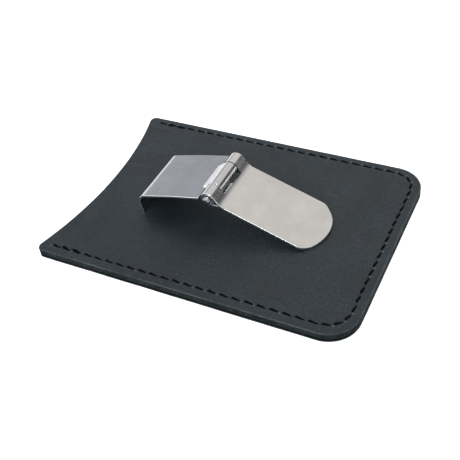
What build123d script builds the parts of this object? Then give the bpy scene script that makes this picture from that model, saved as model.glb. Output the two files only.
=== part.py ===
"""Leather card sleeve with a hinged steel money clip on its front.

The sleeve lies on its back. X runs along its length, from the open card mouth
at -X to the sewn end at +X, Y runs across it, and Z is up through the clip.
The origin is the middle of the sleeve's underside. Millimetres.
"""
from build123d import *
from math import acos, asin, atan2, cos, degrees, hypot, radians, sin, sqrt, tan
import os

# --- sleeve -------------------------------------------------------------------
sleeve_length = 99.7
sleeve_width = 71.9
back_thickness = 1.05
middle_thickness = 1.10
front_thickness = 1.05
end_corner_radius = 9.3
mouth_corner_radius = 2.0
mouth_hollow = 5.5          # how far the open edge curves in between its sharp corners
edge_rounding = 0.3

# --- seam ---------------------------------------------------------------------
near_seam_inset = 3.3
far_seam_inset = 2.6
end_seam_inset = 2.9
seam_start = 3.6            # from the tips of the mouth to the first stitch hole
seam_corner_radius = 6.5
corner_stitches = 3
side_pitch = 3.78
end_pitch = 3.5
thread_width = 0.6
thread_thickness = 0.4
thread_proud = 0.12
groove_width = 0.8
groove_spare = 1.0          # the cutter of the groove stands out of the leather this far
hole_width = 0.7

# --- clip, both sheets --------------------------------------------------------
sheet = 0.7
sheet_rounding = 0.12
arm_width = 21.0
lever_width = 20.4
clip_offset = 0.37          # from the middle of the sleeve, across it
pin_x = -2.95               # along the sleeve; the clip's other X values start here
pin_height = 11.7           # above the front panel, like the clip's other heights
pin_radius = 1.5
pin_clearance = 0.04
knuckle_width = 10.5        # the arm's knuckle, between the lever's two
knuckle_gap = 0.25

# --- spring arm ---------------------------------------------------------------
base_end_x = 14.6
base_corner_radius = 3.0
base_clearance = 0.1
leg_lean = 10.0
arm_edge = (-2.83, 11.37)   # corners of the sheet's middle line
arm_bow = (-12.45, 9.29)
arm_shoulder = (-25.05, 6.0)
ramp_foot_x = -3.9          # where the knuckle's strip leaves the arm
ramp_root = 1.5
bow_radius = 85.0
shoulder_radius = 3.1
base_bend_radius = 0.8
ramp_bend_radius = 1.2

# --- lever --------------------------------------------------------------------
neck_start = 34.0           # where the neck leaves the knuckles, degrees from +X
neck_run = 3.6
neck_radius = 6.4
blade_low_x = 30.8
tip_x = 33.75
tip_lift = 4.5              # degrees that the tip rises past the bend
tip_bend_radius = 2.0
rest_gap = 0.02
tip_radius = 12.5
tip_corner_radius = 3.0
tip_spare = 1.0             # the sheet runs on this far before its plan is cut out
window_edge_x = 3.6
heel_end_x = 3.6
tongue_inner_radius = 3.45
tongue_sheet = 0.7
tongue_depth = 5.0          # room under the neck that the tongue fills
tongue_span = (-5.1, 2.0)   # across the clip
tongue_sweep = (-8.0, -100.0)

# --- hinge pin ----------------------------------------------------------------
pin_recess = 0.5
pin_boss_radius = 1.2
pin_proud = 1.3
pin_dome = 0.55

well_clear = 60.0           # longer than any cut that a cutter has to go through

# --- worked out from the above ------------------------------------------------
middle_bottom = back_thickness
front_bottom = back_thickness + middle_thickness
sleeve_top = front_bottom + front_thickness
knuckle_radius = pin_radius + pin_clearance + sheet
bend_radius_at_pin = knuckle_radius - sheet / 2
base_level = front_bottom - sleeve_top - sheet / 2
clip_place = Pos(pin_x, clip_offset, sleeve_top)
pin_place = Pos(0, 0, pin_height) * Rot(90, 0, 0)


# --- bent sheet ---------------------------------------------------------------
def side_line(corners, radii, offset):
    """One face of a bent sheet in side view: lines and arcs beside its middle."""
    points = [Vector(*corner) for corner in corners]
    headings = [(b - a).normalized() for a, b in zip(points, points[1:])]
    normals = [Vector(-h.Y, h.X) for h in headings]
    edges = []
    last = points[0] + normals[0] * offset
    for i, radius in enumerate(radii):
        before, after = headings[i], headings[i + 1]
        side = 1 if before.X * after.Y - before.Y * after.X > 0 else -1
        turn = acos(before.dot(after))
        reach = radius * tan(turn / 2)
        corner = points[i + 1]
        centre = corner - before * reach + normals[i] * radius * side
        outward = (normals[i] + normals[i + 1]).normalized() * -side
        start = corner - before * reach + normals[i] * offset
        middle = centre + outward * (radius - side * offset)
        end = corner + after * reach + normals[i + 1] * offset
        edges += [Line(last, start), ThreePointArc(start, middle, end)]
        last = end
    edges.append(Line(last, points[-1] + normals[-1] * offset))
    return edges


def bent_sheet(corners, radii, width, above=sheet / 2, below=sheet / 2):
    """A sheet bent along the corners of its middle line, spread evenly along Y."""
    upper = side_line(corners, radii, above)
    lower = side_line(corners, radii, -below)
    caps = [Line(upper[0] @ 0, lower[0] @ 0), Line(upper[-1] @ 1, lower[-1] @ 1)]
    profile = make_face(upper + lower + caps)
    return extrude(Plane.XZ * profile, width / 2, both=True)


def soften(strip):
    """Round a strip's long edges, but not its straight ends or its sheet's thickness."""
    edges = [
        edge for edge in strip.edges()
        if edge.geom_type != GeomType.LINE
        or (abs(edge.tangent_at(0.5).Y) < 0.9 and edge.length > 1.2 * sheet)
    ]
    return fillet(edges, sheet_rounding)


def across(low_y, high_y, low_x, high_x):
    """A tall box over one stretch of the clip."""
    box = Box(high_x - low_x, high_y - low_y, well_clear)
    return Pos((low_x + high_x) / 2, (low_y + high_y) / 2, 0) * box


def knuckle(width, bore):
    """A rolled knuckle around the pin axis."""
    roll = Cylinder(knuckle_radius, width)
    return pin_place * (fillet(roll.edges(), sheet_rounding) - Cylinder(bore, width))


def round_pin_point(angle, radius):
    """A point in side view, at a radius and an angle about the pin axis."""
    return (radius * cos(radians(angle)), pin_height + radius * sin(radians(angle)))


# --- spring arm ---------------------------------------------------------------
def leg_foot():
    """Where the leaning leg meets the level of the hidden base."""
    drop = arm_shoulder[1] - base_level
    return (arm_shoulder[0] + drop * tan(radians(leg_lean)), base_level)


def make_spring_arm():
    foot = leg_foot()
    corners = [arm_edge, arm_bow, arm_shoulder, foot, (base_end_x, base_level)]
    arm = bent_sheet(corners, [bow_radius, shoulder_radius, base_bend_radius], arm_width)
    base_corners = arm.edges().filter_by(Axis.Z).group_by(Axis.X)[-1]
    arm = soften(fillet(base_corners, base_corner_radius))

    slope = (arm_edge[1] - arm_bow[1]) / (arm_edge[0] - arm_bow[0])
    ramp_foot = (ramp_foot_x, arm_edge[1] + slope * (ramp_foot_x - arm_edge[0]))
    reach_x = -ramp_foot[0]
    reach_z = pin_height - ramp_foot[1]
    climb = atan2(reach_z, reach_x) + asin(bend_radius_at_pin / hypot(reach_x, reach_z))
    ramp_top = round_pin_point(90 + degrees(climb), bend_radius_at_pin)
    root = (ramp_foot[0] - ramp_root, ramp_foot[1] - slope * ramp_root)
    ramp = bent_sheet([ramp_top, ramp_foot, root], [ramp_bend_radius], knuckle_width)
    return arm + ramp + knuckle(knuckle_width, pin_radius + pin_clearance)


def slit_cutter():
    """The leg and its bend, with a hair of room all round."""
    foot = leg_foot()
    past_bend = (foot[0] + 2 * base_bend_radius, base_level)
    half = sheet / 2 + base_clearance / 2
    width = arm_width + 2 * base_clearance
    return bent_sheet([arm_shoulder, foot, past_bend], [base_bend_radius], width, half, half)


# --- lever --------------------------------------------------------------------
def lever_path():
    """Middle line of the neck, blade and turned-up tip."""
    start = round_pin_point(neck_start, bend_radius_at_pin)
    heading = radians(neck_start - 90)
    bend = (start[0] + neck_run * cos(heading), start[1] + neck_run * sin(heading))
    low = (blade_low_x, sheet / 2 + rest_gap)
    tip_run = tip_x + tip_spare - blade_low_x
    return [start, bend, low, (low[0] + tip_run, low[1] + tip_run * tan(radians(tip_lift)))]


def lever_outline():
    """The lever's plan: straight sides and a round tip."""
    body = Pos(tip_x - well_clear / 2, 0) * Rectangle(well_clear, lever_width)
    round_tip = Pos(tip_x - tip_radius, 0) * Circle(tip_radius)
    sides = Pos(tip_x - well_clear / 2 - tip_radius, 0) * Rectangle(well_clear, lever_width)
    plan = (body & round_tip) + sides
    shoulders = plan.vertices().group_by(Axis.X)[-1]
    plan = fillet(shoulders, tip_corner_radius)
    return extrude(plan, well_clear, both=True)


def make_tongue():
    """A tab bent down from the window's edge, curving under the arm's knuckle."""
    start, end = tongue_sweep
    outer = tongue_inner_radius + tongue_sheet
    middle = (start + end) / 2
    edges = []
    for radius in (tongue_inner_radius, outer):
        points = [round_pin_point(angle, radius) for angle in (start, middle, end)]
        edges.append(ThreePointArc(*points))
    for where in (0, 1):
        edges.append(Line(edges[0] @ where, edges[1] @ where))
    low, high = tongue_span
    tab = extrude(Plane.XZ * make_face(edges), (high - low) / 2, both=True)
    tab = Pos(0, (low + high) / 2, 0) * tab
    below_the_neck = bent_sheet(
        lever_path(), [neck_radius, tip_bend_radius], lever_width, sheet / 2, tongue_depth)
    return tab & below_the_neck


def make_lever():
    blade = bent_sheet(lever_path(), [neck_radius, tip_bend_radius], lever_width)
    blade = soften(blade & lever_outline())
    heel_level = pin_height - bend_radius_at_pin
    heel = soften(bent_sheet([(heel_end_x, heel_level), (0, heel_level)], [], lever_width))
    rolled = knuckle(lever_width, pin_radius)
    window_half = knuckle_width / 2 + knuckle_gap
    window = across(-window_half, window_half, -well_clear, window_edge_x)
    return blade + heel + rolled - window + make_tongue()


# --- hinge pin ----------------------------------------------------------------
def make_hinge_pin():
    shank = Cylinder(pin_radius, lever_width - 2 * pin_recess)
    boss = Cylinder(pin_boss_radius, lever_width + 2 * pin_proud)
    boss = fillet(boss.edges(), pin_dome)
    return pin_place * (shank + boss)


# --- leather ------------------------------------------------------------------
def sleeve_outline():
    half_width = sleeve_width / 2
    mouth_radius = (half_width ** 2 + mouth_hollow ** 2) / (2 * mouth_hollow)
    tip_arm = mouth_radius + mouth_corner_radius
    tip_reach = sqrt(tip_arm ** 2 - (half_width - mouth_corner_radius) ** 2)
    mouth_x = -sleeve_length / 2 + mouth_corner_radius - tip_reach
    sheet_length = sleeve_length + mouth_hollow
    outline = Pos(-mouth_hollow / 2, 0) * Rectangle(sheet_length, sleeve_width)
    outline -= Pos(mouth_x, 0) * Circle(mouth_radius)
    outline = fillet(outline.vertices().group_by(Axis.X)[-1], end_corner_radius)
    return fillet(outline.vertices().group_by(Axis.X)[0], mouth_corner_radius)


def panel(bottom, thickness):
    return Pos(0, 0, bottom) * extrude(sleeve_outline(), thickness)


def seam_turns():
    """Ends of the seam's straight stretches, each with the pitch that leads up to it."""
    near_y = -sleeve_width / 2 + near_seam_inset
    far_y = sleeve_width / 2 - far_seam_inset
    start_x = -sleeve_length / 2 + seam_start
    end_x = sleeve_length / 2 - end_seam_inset
    corner_x = end_x - seam_corner_radius
    turns = [(Vector(start_x, near_y), 0)]
    for low_angle, corner_y, pitch in (
        (-90, near_y + seam_corner_radius, side_pitch),
        (0, far_y - seam_corner_radius, end_pitch),
    ):
        for i in range(corner_stitches + 1):
            angle = radians(low_angle + 90 * i / corner_stitches)
            arm = Vector(cos(angle), sin(angle)) * seam_corner_radius
            turns.append((Vector(corner_x, corner_y) + arm, pitch if i == 0 else 0))
    turns.append((Vector(start_x, far_y), side_pitch))
    return turns


def seam_runs():
    """The seam as straight stretches: two ends and a number of stitches each."""
    turns = seam_turns()
    runs = []
    for (start, _), (end, pitch) in zip(turns, turns[1:]):
        count = round((end - start).length / pitch) if pitch else 1
        runs.append((start, end, count))
    return runs


def run_frame(run):
    """A frame at the middle of a stretch, with its X along the stitches."""
    start, end, _ = run
    return Plane((start + end) / 2, x_dir=end - start)


def run_length(run):
    return (run[1] - run[0]).length


def stitch_steps(run):
    """Distances of the stitch holes along a stretch, from its middle."""
    return [run_length(run) * (i / run[2] - 0.5) for i in range(run[2] + 1)]


def stitch_holes():
    tall = Box(hole_width, hole_width, well_clear)
    return [
        run_frame(run) * Pos(step, 0, 0) * tall
        for run in seam_runs() for step in stitch_steps(run)
    ]


def seam_groove(bottom, top):
    """The channel that the stitches lie in."""
    bars = []
    for run in seam_runs():
        length = run_length(run) + groove_width
        bar = Box(length, groove_width, top - bottom)
        bars.append(run_frame(run) * Pos(0, 0, (bottom + top) / 2) * bar)
    return bars


def make_thread(bar_bottom, bar_top, reach):
    """One thread of the lock stitch: bars along the seam and legs down its holes."""
    thread = None
    for run in seam_runs():
        length = run_length(run) + thread_width
        middle = (bar_bottom + bar_top) / 2
        pieces = [Pos(0, 0, middle) * Box(length, thread_width, bar_top - bar_bottom)]
        for step in stitch_steps(run):
            leg = Box(thread_width, thread_width, abs(middle - reach))
            pieces.append(Pos(step, 0, (middle + reach) / 2) * leg)
        row = run_frame(run) * (Part() + pieces)
        thread = row if thread is None else thread + row
    return thread


def make_front_panel():
    leather = panel(front_bottom, front_thickness)
    leather = fillet(leather.edges().group_by(Axis.Z)[-1], edge_rounding)
    groove_floor = sleeve_top + thread_proud - thread_thickness
    leather -= clip_place * slit_cutter()
    return leather - seam_groove(groove_floor, sleeve_top + groove_spare) - stitch_holes()


def make_middle_panel():
    leather = panel(middle_bottom, middle_thickness)
    foot_x = leg_foot()[0]
    low_x = pin_x + foot_x - 2 * base_clearance - sheet
    high_x = pin_x + base_end_x + base_clearance
    size = (high_x - low_x, arm_width + 2 * base_clearance)
    recess = extrude(Rectangle(*size), sheet)
    recess = Pos((low_x + high_x) / 2, clip_offset, front_bottom - sheet) * recess
    return leather - recess - stitch_holes()


def make_back_panel():
    leather = panel(0, back_thickness)
    leather = fillet(leather.edges().group_by(Axis.Z)[0], edge_rounding)
    return leather - seam_groove(-groove_spare, thread_thickness) - stitch_holes()


# --- write every sub-part -----------------------------------------------------
seam_middle = (middle_bottom + front_bottom) / 2
bobbin_bottom = 0.05
parts = {
    "front_panel": make_front_panel(),
    "middle_panel": make_middle_panel(),
    "back_panel": make_back_panel(),
    "needle_thread": make_thread(
        sleeve_top + thread_proud - thread_thickness, sleeve_top + thread_proud, seam_middle),
    "bobbin_thread": make_thread(bobbin_bottom, thread_thickness, seam_middle),
    "spring_arm": clip_place * make_spring_arm(),
    "lever": clip_place * make_lever(),
    "hinge_pin": clip_place * make_hinge_pin(),
}

os.makedirs("parts", exist_ok=True)
for name, solid in parts.items():
    export_step(solid, f"parts/{name}.step")
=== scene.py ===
"""Looks of a black leather card sleeve with a hinged steel money clip.

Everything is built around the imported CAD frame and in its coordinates, in metres: +X runs
from the open card mouth to the sewn end, +Y across the sleeve, and +Z up through the clip.
The steel pieces are the CAD's own. The leather and the sewing are modelled here.
"""
import math

import bmesh
import bpy
import numpy as np
from mathutils import Matrix, Vector, noise
from mathutils.geometry import delaunay_2d_cdt


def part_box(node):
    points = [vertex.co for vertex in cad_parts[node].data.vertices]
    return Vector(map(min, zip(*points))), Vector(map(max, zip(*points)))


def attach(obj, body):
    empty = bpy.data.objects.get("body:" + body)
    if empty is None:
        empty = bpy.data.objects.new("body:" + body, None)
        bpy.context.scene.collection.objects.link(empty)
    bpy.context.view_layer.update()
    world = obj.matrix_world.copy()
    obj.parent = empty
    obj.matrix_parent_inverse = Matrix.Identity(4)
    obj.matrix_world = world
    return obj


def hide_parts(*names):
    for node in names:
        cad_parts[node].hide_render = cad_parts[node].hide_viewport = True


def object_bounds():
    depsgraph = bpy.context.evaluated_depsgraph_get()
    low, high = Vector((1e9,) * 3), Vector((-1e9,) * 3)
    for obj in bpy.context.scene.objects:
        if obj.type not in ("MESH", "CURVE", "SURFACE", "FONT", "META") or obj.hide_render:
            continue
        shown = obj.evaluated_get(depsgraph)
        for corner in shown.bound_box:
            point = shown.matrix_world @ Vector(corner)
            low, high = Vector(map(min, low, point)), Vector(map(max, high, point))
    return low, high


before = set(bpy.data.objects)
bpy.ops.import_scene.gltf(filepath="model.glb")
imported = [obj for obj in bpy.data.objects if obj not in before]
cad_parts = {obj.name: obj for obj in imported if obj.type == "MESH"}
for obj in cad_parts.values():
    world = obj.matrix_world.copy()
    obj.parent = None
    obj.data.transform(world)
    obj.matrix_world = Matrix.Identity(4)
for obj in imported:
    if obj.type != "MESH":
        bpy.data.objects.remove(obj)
cad_low, cad_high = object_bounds()
MM = 0.001

# --- the sleeve's plan, as in the CAD --------------------------------------------
END_RADIUS = 9.3 * MM
TIP_RADIUS = 2.0 * MM
MOUTH_HOLLOW = 5.5 * MM
NEAR_INSET = 3.3 * MM
FAR_INSET = 2.6 * MM
END_INSET = 2.9 * MM
SEAM_START = 3.6 * MM
SEAM_CORNER_RADIUS = 6.5 * MM
CORNER_STITCHES = 3
SIDE_PITCH = 3.78 * MM
END_PITCH = 3.5 * MM

# --- leather surface ---------------------------------------------------------------
OUTLINE_STEP = 0.35 * MM
CAP_INSET = 0.9 * MM          # where the rolled edge meets the flat of the skin
BORDER = 2.6 * MM             # pressed border outside the seam
BORDER_DROP = 0.10 * MM
GROOVE_DEPTH = 0.26 * MM
GROOVE_HALF = 0.42 * MM
BRIDGE_RADIUS = 0.50 * MM     # the bare leather between two stitches stays proud
ENTRY_GAP = 0.42 * MM         # from a stitch hole's middle to where the thread goes in
ENTRY_DEPTH = 0.24 * MM
ENTRY_RADIUS = 0.27 * MM
DOT_RADIUS = 0.26 * MM        # pale fibres that the needle pushed up beside a hole
DOT_OUT = 0.42 * MM
DOT_WAVES = 900               # per metre, of the noise that picks the holes
DOT_LIMIT = -0.1
# how far the painted shade in the creases between the layers reaches from a joint
CREASE_SHADE_REACH = 0.27 * MM
LIP_DEPTH = 0.22 * MM         # the skin turns down where the clip's leg goes in
LIP_REACH = 0.45 * MM
SLIT_ROOM = 0.10 * MM
SLIT_DEPTH = 0.95 * MM
SLIT_STEPS = 80               # points along each long side of the slit
SLIT_WALL_SHARES = (0.25, 1.0)
EDGE_ROUND = 0.25 * MM        # rounding of a panel's cut edge, above and below
EDGE_TURNS = 6
WALL_SHARES = (0.33, 0.67)    # where the cut wall has a ring of points between its roundings
# how a cut edge wanders: waves per metre, shift from panel to panel, and depth in millimetres
RAGGED = ((120, 7.3, 0.06), (900, 3.1, 0.035))
WALL_FADE = 0.16 * MM         # over this much the skin turns into the cut wall
RIM_MIDDLE = 0.06 * MM        # the edge's wear and painted highlight lie this far below the face
RIM_WIDTH = 0.07 * MM
RIM_REACH = 0.4 * MM

# --- the points the skin's flat is made from ---------------------------------------
FINE_STEP, MIDDLE_STEP, COARSE_STEP = 0.21 * MM, 0.5 * MM, 1.3 * MM
FINE_REACH, MIDDLE_REACH = 1.3 * MM, 2.4 * MM
SLIT_FURTHER = 0.4 * MM       # the slit needs less of the fine points than the seam does
SLIT_CLEAR = 0.12 * MM
EDGE_CLEAR = 0.7              # room left to the edge, as a share of a step
ROW_RISE = 0.866              # from row to row, as a share of a step
TINY = 1e-8
INSIDE_OUTLINE, INSIDE_WITH_HOLES = 1, 5     # which faces delaunay_2d_cdt gives back
FAR_AWAY = 1.0                # further than any point of the sleeve

# --- thread ------------------------------------------------------------------------
THREAD_RADIUS = 0.33 * MM
THREAD_PROUD = 0.06 * MM
BOBBIN_SUNK = 0.14 * MM       # pulled into its groove, so the sleeve rests on its leather
THREAD_PLIES = 3
PLY_DEPTH = 0.09
PLY_TURN = 2.1 * MM           # length of one full twist
THREAD_SIDES = 14
STITCH_SAMPLES = 22
STITCH_SLANT = 0.34 * MM
STITCH_RISE = 0.46 * MM
WANDER = 0.30 * MM            # how far a stitch bows to one side at most
WANDER_WAVES = 700
THREAD_DEEP = 0.95 * MM
# the doubled stitches at the mouth: how far the thread's first run bows, by the stitch's
# place from the end of the row, then where its second run starts, turns and ends between
# the holes, as shares, and how far that one bows and is lifted
FIRST_BOWS = {1: -0.34 * MM, 2: -0.26 * MM}
TACK_START, TACK_REACH, TACK_TURN, TACK_END = 0.18, 0.62, 0.42, 0.05
TACK_BOWS = (0.42 * MM, 0.36 * MM)
TACK_LIFTS = (0.12 * MM, 0.10 * MM)


# --- plan of the sleeve ------------------------------------------------------------
low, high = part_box("front_panel")
LOW_X, HIGH_X, HALF_WIDTH, SKIN_LEVEL = low.x, high.x, high.y, high.z
TIP_X = LOW_X + TIP_RADIUS
TIP_Y = HALF_WIDTH - TIP_RADIUS
CORNER_X = HIGH_X - END_RADIUS
CORNER_Y = HALF_WIDTH - END_RADIUS
MOUTH_RADIUS = (HALF_WIDTH ** 2 + MOUTH_HOLLOW ** 2) / (2 * MOUTH_HOLLOW)
MOUTH_REACH = math.sqrt((MOUTH_RADIUS + TIP_RADIUS) ** 2 - TIP_Y ** 2)
MOUTH_X = TIP_X - MOUTH_REACH


def arc(centre_x, centre_y, radius, start, end, outward=1):
    """Points and outward normals along an arc, its last point left out."""
    count = max(2, round(abs(end - start) * radius / OUTLINE_STEP))
    angles = [start + (end - start) * i / count for i in range(count)]
    return [
        (Vector((centre_x + radius * math.cos(a), centre_y + radius * math.sin(a))),
         Vector((math.cos(a), math.sin(a))) * outward)
        for a in angles
    ]


def straight(start, end):
    """Points and outward normals along a side, its last point left out."""
    start, end = Vector(start), Vector(end)
    count = round((end - start).length / OUTLINE_STEP)
    along = (end - start).normalized()
    normal = Vector((along.y, -along.x))
    return [(start.lerp(end, i / count), normal) for i in range(count)]


def outline():
    """The sleeve's edge, counterclockwise from the near end of the mouth."""
    quarter = math.pi / 2
    swing = math.atan2(TIP_Y, MOUTH_REACH)
    return (
        straight((TIP_X, -HALF_WIDTH), (CORNER_X, -HALF_WIDTH))
        + arc(CORNER_X, -CORNER_Y, END_RADIUS, -quarter, 0)
        + straight((HIGH_X, -CORNER_Y), (HIGH_X, CORNER_Y))
        + arc(CORNER_X, CORNER_Y, END_RADIUS, 0, quarter)
        + straight((CORNER_X, HALF_WIDTH), (TIP_X, HALF_WIDTH))
        + arc(TIP_X, TIP_Y, TIP_RADIUS, quarter, math.pi + swing)
        + arc(MOUTH_X, 0, MOUTH_RADIUS, swing, -swing, outward=-1)
        + arc(TIP_X, -TIP_Y, TIP_RADIUS, math.pi - swing, 3 * quarter)
    )


def sewn_distance(x, y):
    """Distance in from the three sewn sides, for arrays of points."""
    side = HALF_WIDTH - np.abs(y)
    end = HIGH_X - x
    corner = END_RADIUS - np.hypot(x - CORNER_X, np.abs(y) - CORNER_Y)
    in_corner = (x > CORNER_X) & (np.abs(y) > CORNER_Y)
    return np.where(in_corner, corner, np.minimum(side, end))


def mouth_distance(x, y):
    """Distance in from the hollowed open end, for arrays of points."""
    return np.hypot(x - MOUTH_X, y) - MOUTH_RADIUS


# --- seam --------------------------------------------------------------------------
def seam_runs():
    """The seam as straight stretches: two ends and a number of stitches each."""
    near_y = -HALF_WIDTH + NEAR_INSET
    far_y = HALF_WIDTH - FAR_INSET
    start_x = LOW_X + SEAM_START
    corner_x = HIGH_X - END_INSET - SEAM_CORNER_RADIUS
    turns = [(Vector((start_x, near_y)), 0)]
    for low_angle, corner_y, pitch in (
        (-90, near_y + SEAM_CORNER_RADIUS, SIDE_PITCH),
        (0, far_y - SEAM_CORNER_RADIUS, END_PITCH),
    ):
        for i in range(CORNER_STITCHES + 1):
            angle = math.radians(low_angle + 90 * i / CORNER_STITCHES)
            reach = Vector((math.cos(angle), math.sin(angle))) * SEAM_CORNER_RADIUS
            turns.append((Vector((corner_x, corner_y)) + reach, pitch if i == 0 else 0))
    turns.append((Vector((start_x, far_y)), SIDE_PITCH))
    runs = []
    for (start, _), (end, pitch) in zip(turns, turns[1:]):
        runs.append((start, end, round((end - start).length / pitch) if pitch else 1))
    return runs


def seam_holes():
    """Every stitch hole in order along the seam."""
    holes = [seam_runs()[0][0]]
    for start, end, count in seam_runs():
        holes += [start.lerp(end, (i + 1) / count) for i in range(count)]
    return holes


HOLES = seam_holes()


def seam_distance(x, y):
    """Distance to the seam's line, for arrays of points."""
    nearest = np.full(np.shape(x), FAR_AWAY)
    for start, end, _ in seam_runs():
        ux, uy = (end - start).normalized()
        length = (end - start).length
        along = np.clip((x - start.x) * ux + (y - start.y) * uy, 0, length)
        away = np.hypot(x - start.x - ux * along, y - start.y - uy * along)
        nearest = np.minimum(nearest, away)
    return nearest


def shown_part(start, end):
    """The stretch between two holes where the thread lies on the leather."""
    inward = (end - start).normalized() * ENTRY_GAP
    return start + inward, end - inward


ENTRIES = [point for pair in zip(HOLES, HOLES[1:]) for point in shown_part(*pair)]


def pale_dots():
    """Where fibres show, just outside of about half of the holes."""
    dots = []
    for start, end in zip(HOLES, HOLES[1:]):
        if noise.noise(Vector((start.x, start.y, 0)) * DOT_WAVES) > DOT_LIMIT:
            along = (end - start).normalized()
            dots.append(start + Vector((along.y, -along.x)) * DOT_OUT)
    return dots


DOTS = pale_dots()
LAYER_JOINTS = (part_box("back_panel")[1].z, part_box("front_panel")[0].z)


def nearest_distance(x, y, points):
    """Distance to the nearest of some points, for arrays of points."""
    nearest = np.full(np.shape(x), FAR_AWAY)
    for point in points:
        nearest = np.minimum(nearest, np.hypot(x - point.x, y - point.y))
    return nearest


# --- where the clip's leg enters the leather ---------------------------------------
def leg_slit():
    """Lowest and highest X and Y of the arm's leg where it crosses the skin."""
    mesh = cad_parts["spring_arm"].data
    crossings = []
    for edge in mesh.edges:
        a, b = (mesh.vertices[i].co for i in edge.vertices)
        if (a.z - SKIN_LEVEL) * (b.z - SKIN_LEVEL) < 0:
            crossings.append(a.lerp(b, (SKIN_LEVEL - a.z) / (b.z - a.z)))
    xs = [p.x for p in crossings]
    ys = [p.y for p in crossings]
    return min(xs) - SLIT_ROOM, max(xs) + SLIT_ROOM, min(ys) - SLIT_ROOM, max(ys) + SLIT_ROOM


SLIT = leg_slit()


def slit_distance(x, y):
    """Distance to the slit, nought inside it, for arrays of points."""
    slit_low_x, slit_high_x, slit_low_y, slit_high_y = SLIT
    dx = np.maximum(np.maximum(slit_low_x - x, x - slit_high_x), 0)
    dy = np.maximum(np.maximum(slit_low_y - y, y - slit_high_y), 0)
    return np.hypot(dx, dy)


# --- leather -----------------------------------------------------------------------
def skin_drop(x, y, with_slit):
    """How far the skin lies below its flat level, for arrays of points."""
    border = np.clip(1 - sewn_distance(x, y) / BORDER, 0, 1)
    drop = BORDER_DROP * border ** 2
    away = seam_distance(x, y)
    bridge = np.exp(-((nearest_distance(x, y, HOLES) / BRIDGE_RADIUS) ** 2))
    drop += GROOVE_DEPTH * np.exp(-((away / GROOVE_HALF) ** 2)) * (1 - bridge)
    entry = nearest_distance(x, y, ENTRIES)
    drop += ENTRY_DEPTH * np.exp(-((entry / ENTRY_RADIUS) ** 2))
    if with_slit:
        drop += LIP_DEPTH * np.exp(-((slit_distance(x, y) / LIP_REACH) ** 2))
    return drop


def lattice(step, keep):
    """Staggered points over the sleeve, a step apart, where keep says so."""
    rows = np.arange(-HALF_WIDTH, HALF_WIDTH, step * ROW_RISE)
    columns = np.arange(LOW_X, HIGH_X, step)
    x, y = np.meshgrid(columns, rows)
    x = x + (np.arange(len(rows)) % 2)[:, None] * step / 2
    x, y = x.ravel(), y.ravel()
    inside = sewn_distance(x, y) > CAP_INSET + EDGE_CLEAR * step
    inside &= mouth_distance(x, y) > CAP_INSET + EDGE_CLEAR * step
    wanted = inside & keep(x, y)
    return list(zip(x[wanted], y[wanted]))


def skin_points(with_slit):
    """Points that the skin's flat is made from: dense at the seam and at the slit."""
    def away(x, y):
        seam = seam_distance(x, y)
        return np.minimum(seam, slit_distance(x, y) + SLIT_FURTHER) if with_slit else seam

    def clear(x, y):
        return slit_distance(x, y) > SLIT_CLEAR if with_slit else np.full(x.shape, True)

    def between(x, y):
        return (away(x, y) >= FINE_REACH) & (away(x, y) < MIDDLE_REACH)

    return (
        lattice(FINE_STEP, lambda x, y: (away(x, y) < FINE_REACH) & clear(x, y))
        + lattice(MIDDLE_STEP, between)
        + lattice(COARSE_STEP, lambda x, y: away(x, y) >= MIDDLE_REACH)
    )


def flat_faces(ring, points, hole):
    """Triangles that fill a ring of points through inner points, around a hole."""
    coords = [Vector(p) for p in (*ring, *hole, *points)]
    n, m = len(ring), len(hole)
    edges = [(i, (i + 1) % n) for i in range(n)]
    edges += [(n + i, n + (i + 1) % m) for i in range(m)]
    kind = INSIDE_WITH_HOLES if hole else INSIDE_OUTLINE
    plan, _, faces, origins, _, _ = delaunay_2d_cdt(coords, edges, [], kind, TINY)
    return plan, faces, origins


def rolled_edge(thickness):
    """The edge's section: steps in from the outline and down from the worked face."""
    quarters = [math.pi / 2 * i / EDGE_TURNS for i in range(EDGE_TURNS + 1)]
    steps = [(CAP_INSET, 0), ((CAP_INSET + EDGE_ROUND) / 2, 0)]
    steps += [(EDGE_ROUND * (1 - math.sin(a)), EDGE_ROUND * (1 - math.cos(a))) for a in quarters]
    wall = thickness - EDGE_ROUND - EDGE_ROUND
    steps += [(0, EDGE_ROUND + wall * share) for share in WALL_SHARES]
    steps += [
        (EDGE_ROUND * (1 - math.cos(a)), thickness - EDGE_ROUND * (1 - math.sin(a)))
        for a in quarters
    ]
    steps.append((CAP_INSET, thickness))
    return steps


def ragged(point, seed):
    """How far a cut edge wanders in, at a point on it."""
    return MM * sum(
        depth * noise.noise(Vector((point.x * waves, point.y * waves, seed * shift)))
        for waves, shift, depth in RAGGED
    )


def edge_rings(edge, section, level, way, seed, skin):
    """The points of a panel's edge: a ring around the sleeve for each step of its section."""
    thickness = section[-1][1]
    wander = [ragged(point, seed) for point, _ in edge]
    points = []
    for inset, depth in section:
        share = 1 - inset / CAP_INSET
        ring = [point - normal * (inset + w * share) for (point, normal), w in zip(edge, wander)]
        x = np.array([p.x for p in ring])
        y = np.array([p.y for p in ring])
        drop = np.full(x.shape, float(depth))
        if skin:
            drop = depth + skin_drop(x, y, skin == "up") * (1 - depth / thickness)
        points += [Vector(p) for p in zip(x, y, level + way * drop)]
    return points


def slit_ring():
    """The slit's outline, counterclockwise, with points along its long sides."""
    x0, x1, y0, y1 = SLIT
    steps = [(y1 - y0) * i / SLIT_STEPS for i in range(1, SLIT_STEPS)]
    return (
        [(x0, y0), (x1, y0)] + [(x1, y0 + step) for step in steps]
        + [(x1, y1), (x0, y1)] + [(x0, y1 - step) for step in steps]
    )


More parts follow.
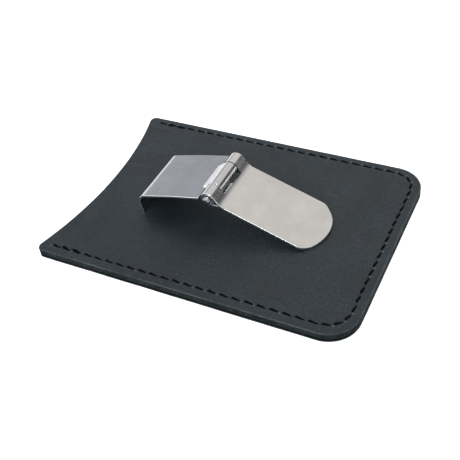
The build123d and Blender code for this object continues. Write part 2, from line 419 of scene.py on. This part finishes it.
def add_slit_wall(verts, faces, upper, top):
    """Adds the slit's wall, down from a ring of points on the skin."""
    for share in SLIT_WALL_SHARES:
        level = top - LIP_DEPTH - (SLIT_DEPTH - LIP_DEPTH) * share
        lower = range(len(verts), len(verts) + len(upper))
        verts += [Vector((verts[i].x, verts[i].y, level)) for i in upper]
        for i in range(len(upper)):
            j = (i + 1) % len(upper)
            faces.append((upper[i], lower[i], lower[j], upper[j]))
        upper = lower


def mark_leather(mesh, section, count, skin):
    """Stores where the leather is cut, worn with a painted highlight, darkened with painted shade
    in its creases, or pricked, for its material.
    """
    walls = np.zeros(len(mesh.vertices), np.float32)
    rims = np.zeros(len(mesh.vertices), np.float32)
    for k, (inset, depth) in enumerate(section):
        ring = slice(k * count, (k + 1) * count)
        walls[ring] = np.clip(1 - inset / WALL_FADE, 0, 1) * np.clip(depth / WALL_FADE, 0, 1)
        # wear and a painted highlight along the rounded top of the edge
        if inset < RIM_REACH:
            rims[ring] = math.exp(-(((depth - RIM_MIDDLE) / RIM_WIDTH) ** 2))
    x, y, z = np.array([vertex.co for vertex in mesh.vertices]).T
    # painted shade, darkest where two layers meet on the cut wall
    joint = np.minimum(np.abs(z - LAYER_JOINTS[0]), np.abs(z - LAYER_JOINTS[1]))
    crease_shades = np.exp(-((joint / CREASE_SHADE_REACH) ** 2)) * (walls > 0)
    pricks = 0 * walls
    if skin:
        pricks = np.exp(-((nearest_distance(x, y, DOTS) / DOT_RADIUS) ** 2))
    marks = {"cut_wall": walls, "worn_and_highlight_rim": rims, "crease_shade": crease_shades, "prick": pricks}
    for attribute, values in marks.items():
        data = mesh.attributes.new(attribute, "FLOAT", "POINT").data
        data.foreach_set("value", values.astype(np.float32))


def leather_panel(name, node, seed, skin=None):
    """A panel with a rolled edge. Its skin is the worked face: "up", "down" or None."""
    low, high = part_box(node)
    level, way = (low.z, 1) if skin == "down" else (high.z, -1)
    edge = outline()
    count = len(edge)
    section = rolled_edge(high.z - low.z)
    verts = edge_rings(edge, section, level, way, seed, skin)
    faces = []
    for k in range(len(section) - 1):
        for i in range(count):
            j = (i + 1) % count
            upper, lower = k * count, (k + 1) * count
            faces.append((upper + i, lower + i, lower + j, upper + j))

    # the worked face, with the slit in it
    slit = slit_ring() if skin == "up" else []
    points = skin_points(skin == "up") if skin else []
    plan, triangles, origins = flat_faces([(v.x, v.y) for v in verts[:count]], points, slit)
    x = np.array([p.x for p in plan])
    y = np.array([p.y for p in plan])
    drop = skin_drop(x, y, skin == "up") if skin else 0 * x
    index = []
    for i, made_from in enumerate(origins):
        outer = [o for o in made_from if o < count]
        index.append(outer[0] if outer else len(verts))
        if not outer:
            verts.append(Vector((x[i], y[i], level + way * drop[i])))
    faces += [tuple(index[i] for i in triangle) for triangle in triangles]
    around = [
        index[next(k for k, made_from in enumerate(origins) if count + i in made_from)]
        for i in range(len(slit))
    ]
    add_slit_wall(verts, faces, around, high.z)

    # the plain face, inside the section's last ring
    start = (len(section) - 1) * count
    ring = [(v.x, v.y) for v in verts[start:start + count]]
    _, triangles, origins = flat_faces(ring, [], [])
    faces += [tuple(start + origins[i][0] for i in reversed(triangle)) for triangle in triangles]

    mesh = bpy.data.meshes.new(name)
    mesh.from_pydata(verts, [], faces)
    mesh.validate()
    fix_normals(mesh)
    panel = bpy.data.objects.new(name, mesh)
    bpy.context.scene.collection.objects.link(panel)
    mark_leather(mesh, section, count, skin)
    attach(panel, "sleeve")
    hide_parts(node)


def fix_normals(mesh):
    """Point every face outwards and shade the mesh smooth."""
    work = bmesh.new()
    work.from_mesh(mesh)
    bmesh.ops.recalc_face_normals(work, faces=work.faces)
    for face in work.faces:
        face.smooth = True
    work.to_mesh(mesh)
    work.free()


# --- thread ------------------------------------------------------------------------
def stitch_line(start, end, bow, lift):
    """Centre line of one stitch: out of a hole, along the leather and down the next.

    Each point has its place in plan, its height over the deepest point as a share, its
    lift off the leather in metres, and the sideways unit vector.
    """
    along = end - start
    length = along.length
    across = Vector((-along.y, along.x)) / length
    line = []
    for i in range(STITCH_SAMPLES):
        t = length * 0.5 * (1 - math.cos(math.pi * i / STITCH_SAMPLES))
        edge = min(t, length - t) / STITCH_RISE
        rise = 1 if edge >= 1 else edge * edge * (3 - 2 * edge)
        slant = STITCH_SLANT * (1 - 2 * t / length) * rise
        side = slant + bow * math.sin(math.pi * t / length)
        centre = start + along * (t / length) + across * side
        line.append((centre, rise, lift * math.sin(math.pi * t / length), across))
    return line


def sweep_thread(verts, faces, stitches, level, way):
    """Adds a twisted thread that runs through a row of stitches.

    Each stitch has its first and last hole, how far it bows, and how far it is lifted.
    """
    path = []
    for start, end, bow, lift in stitches:
        path += stitch_line(*shown_part(start, end), bow, lift)
    centres = []
    for plan, rise, lift, _ in path:
        surface = level + way * (THREAD_PROUD - THREAD_RADIUS + lift)
        depth = THREAD_DEEP * (1 - rise)
        centres.append(Vector((plan.x, plan.y, surface - way * depth)))
    travelled = 0.0
    first = len(verts)
    for i, centre in enumerate(centres):
        before, after = centres[max(i - 1, 0)], centres[min(i + 1, len(centres) - 1)]
        travelled += (centre - centres[max(i - 1, 0)]).length
        tangent = (after - before).normalized()
        side = Vector((path[i][3].x, path[i][3].y, 0))
        up = side.cross(tangent).normalized()
        side = tangent.cross(up)
        for k in range(THREAD_SIDES):
            angle = 2 * math.pi * k / THREAD_SIDES
            twist = 2 * math.pi * travelled / PLY_TURN
            bulge = 1 + PLY_DEPTH * math.cos(THREAD_PLIES * angle - twist)
            radius = THREAD_RADIUS * bulge
            across, above = radius * math.cos(angle), radius * math.sin(angle)
            verts.append(centre + side * across + up * above)
    for i in range(len(centres) - 1):
        for k in range(THREAD_SIDES):
            n = (k + 1) % THREAD_SIDES
            a = first + i * THREAD_SIDES
            b = a + THREAD_SIDES
            faces.append((a + k, a + n, b + n, b + k))
    last = first + (len(centres) - 1) * THREAD_SIDES
    faces.append(tuple(first + k for k in reversed(range(THREAD_SIDES))))
    faces.append(tuple(last + k for k in range(THREAD_SIDES)))


def sewing(name, node, level, way, tacked):
    """One thread of the seam, doubled at both ends of the mouth where it is tacked."""
    verts, faces = [], []
    bows = FIRST_BOWS if tacked else {}
    count = len(HOLES) - 1
    row = []
    for i in range(count):
        from_end = min(i, count - 1 - i)
        sway = WANDER * noise.noise(Vector((HOLES[i].x, HOLES[i].y, level)) * WANDER_WAVES)
        row.append((HOLES[i], HOLES[i + 1], bows.get(from_end, sway), 0))
    sweep_thread(verts, faces, row, level, way)
    if tacked:
        for step, start in ((1, 0), (-1, count)):
            first, second, fourth = (HOLES[start + step * i] for i in (0, 1, 3))
            turn = second.lerp(fourth, TACK_REACH).lerp(second, TACK_TURN)
            ends = second.lerp(first, TACK_START), turn, fourth.lerp(second, TACK_END)
            tack = [
                (ends[i], ends[i + 1], TACK_BOWS[i] * step, TACK_LIFTS[i]) for i in (0, 1)
            ]
            sweep_thread(verts, faces, tack, level, way)
    mesh = bpy.data.meshes.new(name)
    mesh.from_pydata(verts, [], faces)
    fix_normals(mesh)
    thread = bpy.data.objects.new(name, mesh)
    bpy.context.scene.collection.objects.link(thread)
    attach(thread, "sleeve")
    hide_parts(node)


# --- materials ---------------------------------------------------------------------
# colours, as red, green and blue light from 0 to 1, most with a fourth number for opacity
SKIN_DARK = (0.0120, 0.0205, 0.0262, 1)
SKIN_LIGHT = (0.0208, 0.0315, 0.0390, 1)
GRAIN_DARK = (0.0035, 0.0065, 0.0090, 1)
CUT_LEATHER = (0.0115, 0.0165, 0.0175, 1)
# nearly black: painted shade in the creases between the layers
LAYER_CREASE_SHADE = (0.0003, 0.0004, 0.0004, 1)
PALE_FIBRE = (0.16, 0.18, 0.18, 1)
# lighter leather on the rounded top edge: partly wear, partly a painted highlight
WORN_LEATHER_AND_HIGHLIGHT = (0.150, 0.185, 0.180, 1)
DUST = (0.16, 0.17, 0.17, 1)
SCRATCH = (0.07, 0.075, 0.08, 1)
THREAD_DARK = (0.0005, 0.0007, 0.0010, 1)
THREAD_LIGHT = (0.0020, 0.0026, 0.0032, 1)
ARM_TINT = (0.545, 0.545, 0.555)
LEVER_TINT = (0.585, 0.580, 0.570)
PIN_TINT = (0.38, 0.39, 0.39)
# brighter steel on the sideways cut edges: a painted highlight
CUT_STEEL_HIGHLIGHT = (0.92, 0.92, 0.91, 1)
WHITE = (1, 1, 1, 1)

# noise scales, in waves per metre along X, Y and Z: a low one is the way the lines run
SCRATCH_WAVES = (60, 1500, 300)
THREAD_WAVES = (3500, 3500, 3500)
LINES_ALONG_Y = (5200, 260, 5200)
LINES_ALONG_X = (420, 5200, 5200)

# the steel
LINE_STRENGTH = 0.10
LINE_DEPTH = 0.012 * MM
CLOUD_SHADE = 0.90            # of the tint, in the darker clouds
CUT_SMOOTHER = 0.6            # of the roughness, on a polished cut edge
POLISH_AND_HIGHLIGHT = (0.15, 0.50)       # how far a face turns sideways where polish and painted highlight start and are full


class Nodes:
    """A short way to write the nodes of a material or of the world."""

    def __init__(self, owner):
        self.owner = owner
        owner.use_nodes = True
        self.tree = owner.node_tree

    def add(self, kind, settings=None, **inputs):
        node = self.tree.nodes.new("ShaderNode" + kind)
        for key, value in (settings or {}).items():
            setattr(node, key, value)
        for key, value in inputs.items():
            self.put(node.inputs[key.replace("_", " ")], value)
        return node

    def put(self, socket, value):
        if isinstance(value, bpy.types.NodeSocket):
            self.tree.links.new(value, socket)
        else:
            socket.default_value = value

    def place(self, scale=(1, 1, 1)):
        """The piece's own coordinates, in metres, stretched by a scale."""
        coordinates = self.add("TexCoord")
        mapping = self.add("Mapping", Vector=coordinates.outputs["Object"], Scale=scale)
        return mapping.outputs["Vector"]

    def noise(self, scale, detail=3.0, roughness=0.5, where=None):
        where = where or self.place()
        node = self.add("TexNoise", Vector=where, Scale=scale, Detail=detail, Roughness=roughness)
        return node.outputs["Fac"]

    def attribute(self, name):
        return self.add("Attribute", {"attribute_name": name}).outputs["Fac"]

    def ramp(self, value, low, high, to_low=0.0, to_high=1.0):
        """A soft step between two numbers, while the value goes from low to high."""
        ends = {"From_Min": low, "From_Max": high, "To_Min": to_low, "To_Max": to_high}
        node = self.add("MapRange", {"interpolation_type": "SMOOTHSTEP"}, Value=value, **ends)
        return node.outputs["Result"]

    def math(self, operation, a, b):
        node = self.add("Math", {"operation": operation})
        self.put(node.inputs[0], a)
        self.put(node.inputs[1], b)
        return node.outputs[0]

    def mix(self, share, a, b):
        node = self.add("Mix", {"data_type": "RGBA"})
        self.put(node.inputs["Factor"], share)
        self.put(node.inputs["A"], a)
        self.put(node.inputs["B"], b)
        return node.outputs["Result"]

    def bump(self, height, strength, distance, normal=None):
        node = self.add("Bump", Height=height, Strength=strength, Distance=distance)
        if normal:
            self.put(node.inputs["Normal"], normal)
        return node.outputs["Normal"]

    def surface(self, **inputs):
        """The material, once its own shader has its inputs."""
        shader = self.tree.nodes["Principled BSDF"]
        for key, value in inputs.items():
            self.put(shader.inputs[key.replace("_", " ")], value)
        return self.owner


def leather_material():
    n = Nodes(bpy.data.materials.new("black_leather_finish"))
    # the skin, in soft clouds, with its grain
    clouds = n.ramp(n.noise(75, detail=4, roughness=0.55), 0.35, 0.68)
    colour = n.mix(clouds, SKIN_DARK, SKIN_LIGHT)
    grain = n.ramp(n.noise(1500, detail=3, roughness=0.8), 0.36, 0.64, to_high=0.75)
    colour = n.mix(grain, colour, GRAIN_DARK)
    # the cut wall, with painted shade in the creases between the layers
    wall = n.attribute("cut_wall")
    crease_shade = n.attribute("crease_shade")
    colour = n.mix(wall, colour, CUT_LEATHER)
    colour = n.mix(crease_shade, colour, LAYER_CREASE_SHADE)
    # pale fibres at the holes, and along the edge worn fibres with a painted highlight
    pricked = n.math("MULTIPLY", n.attribute("prick"), 0.7)
    colour = n.mix(pricked, colour, PALE_FIBRE)
    fibres = n.ramp(n.noise(2600, detail=2, roughness=0.6), 0.35, 0.75)
    loose = n.ramp(fibres, 0.0, 1.0, to_low=0.25, to_high=0.8)
    patches = n.ramp(n.noise(190, detail=3, roughness=0.6), 0.30, 0.60)
    worn_and_highlight = n.math("MULTIPLY", n.attribute("worn_and_highlight_rim"), n.math("MULTIPLY", patches, loose))
    colour = n.mix(worn_and_highlight, colour, WORN_LEATHER_AND_HIGHLIGHT)
    # a few specks of dust and long scratches
    specks = n.add("TexVoronoi", Vector=n.place(), Scale=330.0, Randomness=1.0)
    near = n.ramp(specks.outputs["Distance"], 0.030, 0.055, to_low=1.0, to_high=0.0)
    lone = n.ramp(n.noise(210, detail=1, roughness=0.5), 0.53, 0.60)
    colour = n.mix(n.math("MULTIPLY", near, lone), colour, DUST)
    streaks = n.ramp(n.noise(1, where=n.place(SCRATCH_WAVES)), 0.66, 0.73)
    spots = n.ramp(n.noise(45, detail=2), 0.50, 0.60)
    scratched = n.math("MULTIPLY", n.math("MULTIPLY", streaks, spots), 0.55)
    colour = n.mix(scratched, colour, SCRATCH)
    # pores, wrinkles, and fibres on the wall
    cells = n.add("TexVoronoi", {"feature": "SMOOTH_F1"}, Vector=n.place(), Scale=2300.0)
    pores = n.ramp(cells.outputs["Distance"], 0.1, 0.75)
    normal = n.bump(pores, 0.22, 0.05 * MM)
    normal = n.bump(n.noise(700, detail=5, roughness=0.7), 0.40, 0.20 * MM, normal)
    normal = n.bump(fibres, n.math("MULTIPLY", wall, 0.5), 0.08 * MM, normal)
    # the wall is rougher and duller than the skin, and the painted shade in its creases doesn't
    # shine
    smudges = n.noise(160, detail=4, roughness=0.6)
    rough = n.ramp(smudges, 0.3, 0.7, to_low=0.47, to_high=0.56)
    rough = n.math("ADD", rough, n.math("MULTIPLY", wall, 0.2))
    dull = n.ramp(wall, 0.0, 1.0, to_low=0.42, to_high=0.10)
    shine = n.math("MULTIPLY", dull, n.math("SUBTRACT", 1.0, crease_shade))
    return n.surface(
        Base_Color=colour, Roughness=rough, Normal=normal, Specular_IOR_Level=shine)


def thread_material():
    n = Nodes(bpy.data.materials.new("black_thread_finish"))
    fibre = n.noise(1, detail=3, roughness=0.6, where=n.place(THREAD_WAVES))
    colour = n.mix(n.ramp(fibre, 0.35, 0.7), THREAD_DARK, THREAD_LIGHT)
    rough = n.ramp(fibre, 0.3, 0.7, to_low=0.62, to_high=0.80)
    normal = n.bump(fibre, 0.5, 0.04 * MM)
    return n.surface(Base_Color=colour, Roughness=rough, Normal=normal, Specular_IOR_Level=0.05)


def steel_material(name, tint, smooth, rough, grain, polished_highlit_edges):
    """Satin steel with fine lines, in a range of roughness, with polished cut edges that carry a
    painted highlight, or not.
    """
    n = Nodes(bpy.data.materials.new(name))
    lines = n.noise(1, detail=4, roughness=0.6, where=n.place(grain))
    clouds = n.ramp(n.noise(170, detail=4, roughness=0.55), 0.3, 0.7)
    darker = tuple(c * CLOUD_SHADE for c in tint)
    colour = n.mix(clouds, darker + (1,), tint + (1,))
    smudges = n.ramp(n.noise(60, detail=3), 0.3, 0.75, to_low=smooth, to_high=rough)
    roughness = n.math("ADD", smudges, n.ramp(lines, 0.3, 0.7, to_low=-0.02, to_high=0.03))
    normal = n.bump(lines, LINE_STRENGTH, LINE_DEPTH)
    if polished_highlit_edges:
        # the sideways cut edges: smoother polish, and a lighter colour that paints a highlight on
        # them
        facing = n.add("SeparateXYZ", Vector=n.add("NewGeometry").outputs["Normal"])
        edges = n.ramp(n.math("ABSOLUTE", facing.outputs["Y"], 0.0), *POLISH_AND_HIGHLIGHT)
        colour = n.mix(edges, colour, CUT_STEEL_HIGHLIGHT)
        smoother = n.ramp(edges, 0.0, 1.0, to_low=1.0, to_high=CUT_SMOOTHER)
        roughness = n.math("MULTIPLY", roughness, smoother)
    return n.surface(Base_Color=colour, Roughness=roughness, Normal=normal, Metallic=1.0)


def finish(names, material):
    """Gives the pieces a material, in place of any that they came with."""
    for name in names:
        for slot in bpy.data.objects[name].material_slots:
            slot.material = material
        if not bpy.data.objects[name].material_slots:
            bpy.data.objects[name].data.materials.append(material)


# --- stage, light and camera -------------------------------------------------------
FLOOR_HALF = 3.0
FLOOR_GAP = 0.02 * MM


def direction_from(azimuth, elevation):
    """The unit vector out from the object. Azimuth 0 is its near side, 90 degrees its sewn end."""
    flat = math.cos(elevation)
    return Vector((math.sin(azimuth) * flat, -math.cos(azimuth) * flat, math.sin(elevation)))


def make_floor():
    """A pale floor that glows a little, so it shows as the photograph's plain white."""
    mesh = bpy.data.meshes.new("floor")
    level = cad_low.z - FLOOR_GAP
    corners = [
        (x * FLOOR_HALF, y * FLOOR_HALF, level) for x, y in ((-1, -1), (1, -1), (1, 1), (-1, 1))
    ]
    mesh.from_pydata(corners, [], [(0, 1, 2, 3)])
    floor = bpy.data.objects.new("floor", mesh)
    bpy.context.scene.collection.objects.link(floor)
    n = Nodes(bpy.data.materials.new("floor_paper"))
    mesh.materials.append(n.surface(
        Base_Color=(0.93, 0.93, 0.93, 1), Roughness=0.9, Specular_IOR_Level=0.2,
        Emission_Color=WHITE, Emission_Strength=0.60))


def make_softbox(name, azimuth, elevation, distance, size, power, colour):
    """A square soft light that looks at the object's middle."""
    back = direction_from(math.radians(azimuth), math.radians(elevation))
    data = bpy.data.lights.new(name, "AREA")
    data.size = size
    data.energy = power
    data.color = colour
    lamp = bpy.data.objects.new(name, data)
    lamp.location = back * distance
    lamp.rotation_euler = (-back).to_track_quat("-Z", "Y").to_euler()
    bpy.context.scene.collection.objects.link(lamp)


# the room's own light, then its patches: the direction each is in, how far it reaches in
# degrees (full, gone), and its light
ROOM = (0.66, 0.71, 0.79, 1)
PATCHES = [
    ((0.01, 0.63, 0.78), 26, 45, (1.02, 0.99, 0.96, 1)),    # warm ceiling over the lever
    ((-0.66, 0.63, 0.41), 9, 18, (0.56, 0.57, 0.62, 1)),    # cool dark gap, seen in the arm
    ((-0.48, 0.63, 0.61), 4, 10, (1.14, 1.15, 1.13, 1)),    # seen in the lever's tip
    ((-0.78, 0.63, 0.01), 7, 16, (1.15, 1.14, 1.15, 1)),    # bright wall at the back left
    ((0.78, 0.63, 0.05), 20, 38, (0.12, 0.12, 0.12, 1)),    # dark wall at the back right
    ((0.1, -0.95, 0.15), 25, 50, (0.22, 0.25, 0.27, 1)),    # dark wall in front
    ((0.07, -0.77, 0.64), 8, 17, (6.00, 6.00, 5.95, 1)),    # window in front, for the lever's rim
    ((-0.66, -0.57, 0.49), 8, 17, (2.80, 2.82, 2.88, 1)),   # window to the left, for the arm's rim
]


def make_world():
    """A pale room with soft bright and dark patches, which the steel reflects.

    Seen by the camera itself, the room is plain white, as the photograph's background is.
    """
    world = bpy.data.worlds.new("studio")
    bpy.context.scene.world = world
    n = Nodes(world)
    direction = n.add("TexCoord").outputs["Generated"]
    light = ROOM
    for toward, full, gone, colour in PATCHES:
        facing = n.add("VectorMath", {"operation": "DOT_PRODUCT"})
        n.put(facing.inputs[0], direction)
        n.put(facing.inputs[1], Vector(toward).normalized())
        far, near = math.cos(math.radians(gone)), math.cos(math.radians(full))
        light = n.mix(n.ramp(facing.outputs["Value"], far, near), light, colour)
    shown = n.mix(n.add("LightPath").outputs["Is Camera Ray"], light, WHITE)
    n.put(n.tree.nodes["Background"].inputs["Color"], shown)


# where the camera looks from: angles in degrees, then how far off it is and how far it is
# moved to the right and up, away from the line to the point it is aimed at
AZIMUTH, ELEVATION, ROLL = 31.278, 42.733, -7.8
DISTANCE, SIDEWAYS, UPWARDS = 245.373 * MM, -2.003 * MM, -3.506 * MM
AIM_SHIFT = 0.35 * MM         # the aim is this far to the mouth's side of the middle
LENS, SENSOR = 61.96, 36.0
CLIP_NEAR, CLIP_FAR = 0.01, 20.0


def make_camera():
    """The photograph's view: a long lens, from the near right and above, with a slight tilt."""
    azimuth, elevation, roll = (math.radians(d) for d in (AZIMUTH, ELEVATION, ROLL))
    back = direction_from(azimuth, elevation)
    right = Vector((math.cos(azimuth), math.sin(azimuth), 0))
    up = back.cross(right)
    turned_right = right * math.cos(roll) + up * math.sin(roll)
    turned_up = up * math.cos(roll) - right * math.sin(roll)
    data = bpy.data.cameras.new("camera")
    data.lens = LENS
    data.sensor_width = SENSOR
    data.clip_start = CLIP_NEAR
    data.clip_end = CLIP_FAR
    camera = bpy.data.objects.new("camera", data)
    middle_x = (cad_low.x + cad_high.x) / 2 - AIM_SHIFT
    aim = Vector((middle_x, (cad_low.y + cad_high.y) / 2, cad_low.z))
    place = aim + back * DISTANCE + right * SIDEWAYS + up * UPWARDS
    rotation = Matrix((turned_right, turned_up, back)).transposed().to_4x4()
    camera.matrix_world = Matrix.Translation(place) @ rotation
    bpy.context.scene.collection.objects.link(camera)
    bpy.context.scene.camera = camera


# --- build -------------------------------------------------------------------------
make_camera()
make_floor()
make_world()
make_softbox("front_softbox", azimuth=-30, elevation=60, distance=0.80, size=0.60,
             power=0.45, colour=(0.97, 0.99, 1.0))

leather_panel("front_leather", "front_panel", seed=1, skin="up")
leather_panel("middle_leather", "middle_panel", seed=2)
leather_panel("back_leather", "back_panel", seed=3, skin="down")
skin_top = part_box("front_panel")[1].z
skin_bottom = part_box("back_panel")[0].z
sewing("needle_sewing", "needle_thread", skin_top, way=1, tacked=True)
sewing("bobbin_sewing", "bobbin_thread", skin_bottom + BOBBIN_SUNK, way=-1, tacked=False)

finish(["front_leather", "middle_leather", "back_leather"], leather_material())
finish(["needle_sewing", "bobbin_sewing"], thread_material())
finish(["spring_arm"], steel_material(
    "arm_steel_finish", ARM_TINT, smooth=0.16, rough=0.22, grain=LINES_ALONG_Y, polished_highlit_edges=True))
finish(["lever"], steel_material(
    "lever_steel_finish", LEVER_TINT, smooth=0.22, rough=0.30, grain=LINES_ALONG_X, polished_highlit_edges=True))
finish(["hinge_pin"], steel_material(
    "pin_steel_finish", PIN_TINT, smooth=0.20, rough=0.28, grain=LINES_ALONG_Y, polished_highlit_edges=False))

bpy.context.scene.view_settings.view_transform = "Standard"
